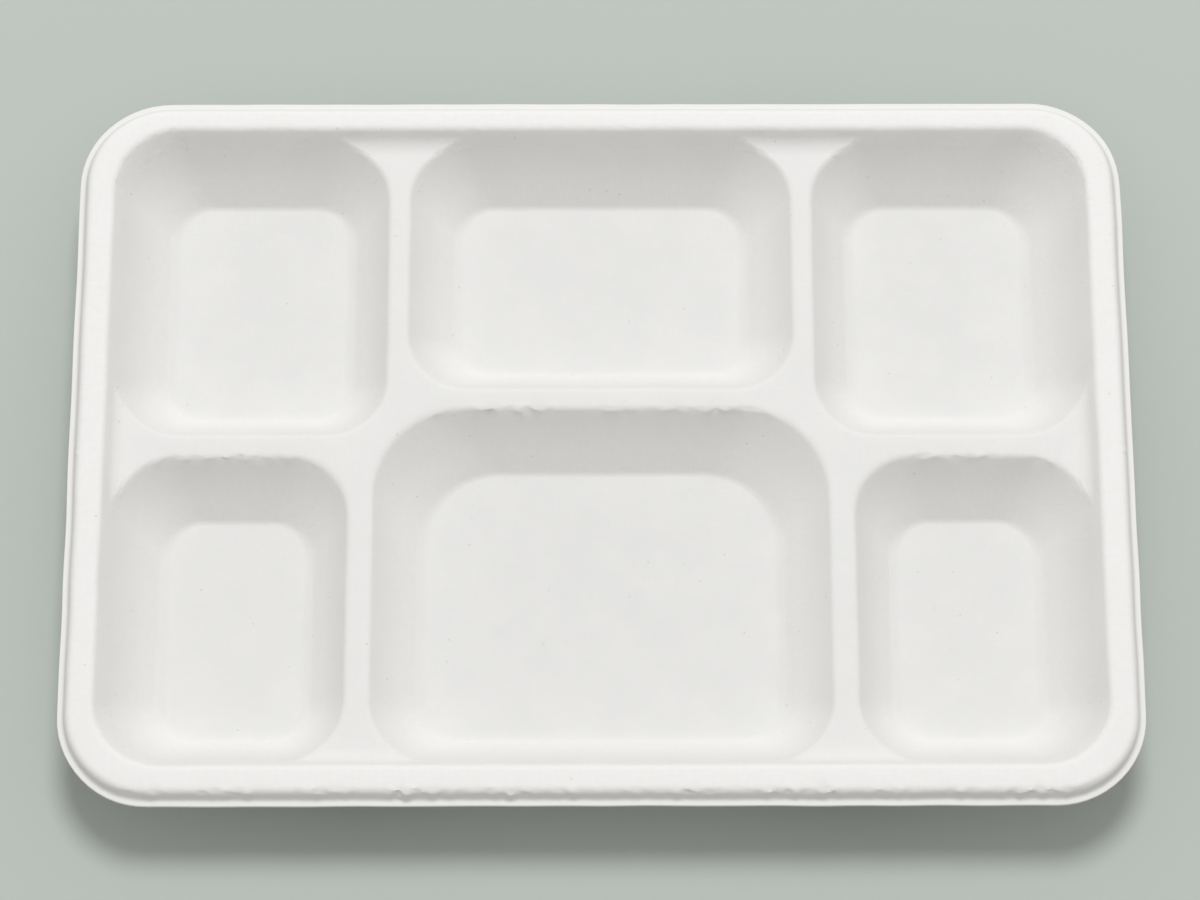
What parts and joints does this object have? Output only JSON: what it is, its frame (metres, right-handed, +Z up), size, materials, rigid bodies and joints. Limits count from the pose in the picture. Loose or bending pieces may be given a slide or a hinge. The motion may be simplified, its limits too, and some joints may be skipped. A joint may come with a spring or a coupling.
{
  "type": "compartment meal tray",
  "caption": "Shallow rectangular meal tray moulded from plant fibre as one thin shell, with sloping-walled pockets, low dividers, a raised flat rim and a narrow outer lip.",
  "frame": {"origin": "under the tray's middle, on the plane that the pocket floors stand on", "axes": "+X to the right along the long side, +Y away from the diner, +Z up out of the pockets"},
  "size_m": [0.3204, 0.2246, 0.0265],
  "materials": {
    "fibre": "matte, faintly fibrous, off-white"
  },
  "bodies": {
    "root": {"tray": "fibre"}
  },
  "joints": []
}
